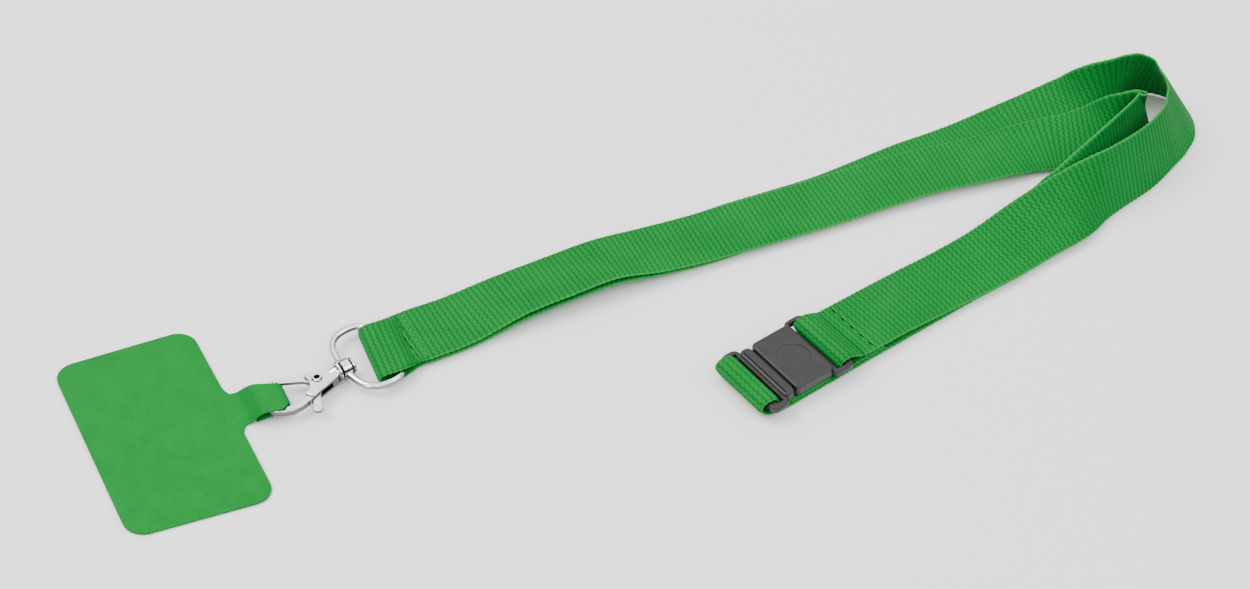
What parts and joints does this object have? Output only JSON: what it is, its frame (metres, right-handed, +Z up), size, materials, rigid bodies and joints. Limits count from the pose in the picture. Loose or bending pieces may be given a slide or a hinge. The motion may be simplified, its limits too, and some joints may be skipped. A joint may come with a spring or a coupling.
{
  "type": "phone lanyard",
  "caption": "Neck lanyard for a phone: folded webbing loop with a breakaway buckle, a D-ring, a swivel trigger hook and a looped tether patch.",
  "frame": {"origin": "middle of the tether patch's flat underside, on the table", "axes": "+Z up from the table, +X from the patch along the folded strap, which is the longest extent, +Y to the far side"},
  "size_m": [0.3382, 0.0901, 0.0207],
  "materials": {
    "webbing": "ribbed woven polyester webbing",
    "thread": "sewing thread",
    "card_cloth": "fine coated cloth",
    "plated_metal": "bright nickel plate",
    "buckle_plastic": "satin moulded"
  },
  "bodies": {
    "strap": {"strap_lower_ply": "webbing", "strap_upper_ply": "webbing", "strap_ring_loop": "webbing", "strap_female_loop": "webbing", "strap_female_tail": "webbing", "ring_seam_thread": "thread", "ring_second_thread": "thread", "female_seam_thread": "thread", "female_housing": "buckle_plastic"},
    "ring": {"d_ring": "plated_metal"},
    "hook": {"hook_body": "plated_metal", "gate_rivet": "plated_metal"},
    "gate": {"gate_lever": "plated_metal"},
    "patch": {"patch_panel": "card_cloth", "patch_tab": "card_cloth"},
    "buckle_male": {"male_latch": "buckle_plastic", "strap_male_loop": "webbing", "strap_male_tail": "webbing"}
  },
  "joints": [
    {"name": "ring_swing", "type": "hinge", "parent": "strap", "child": "ring", "pos_m": [0.06236, 0.00428, 0.0029], "axis": [-0.225, 0.9744, 0], "range_deg": [-90, 90], "deforming": ["strap_ring_loop"]},
    {"name": "hook_swivel", "type": "hinge", "parent": "ring", "child": "hook", "pos_m": [0.05088, 0.00111, 0.0029], "axis": [0.9744, 0.225, 0], "continuous": true},
    {"name": "gate_pivot", "type": "hinge", "parent": "hook", "child": "gate", "pos_m": [0.0426, -0.0008, 0.0029], "axis": [0, 0, 1], "range_deg": [0, 22], "stiffness_Nm_per_rad": 0.004, "springref_deg": -20.05},
    {"name": "patch_swing", "type": "hinge", "parent": "hook", "child": "patch", "pos_m": [0.02758, -0.00376, 0.0029], "axis": [-0.225, 0.9744, 0], "range_deg": [-70, 70], "deforming": ["patch_tab"]},
    {"name": "buckle_release", "type": "slide", "parent": "strap", "child": "buckle_male", "axis": [-0.9659, -0.2588, 0], "range_m": [0, 0.014]}
  ]
}
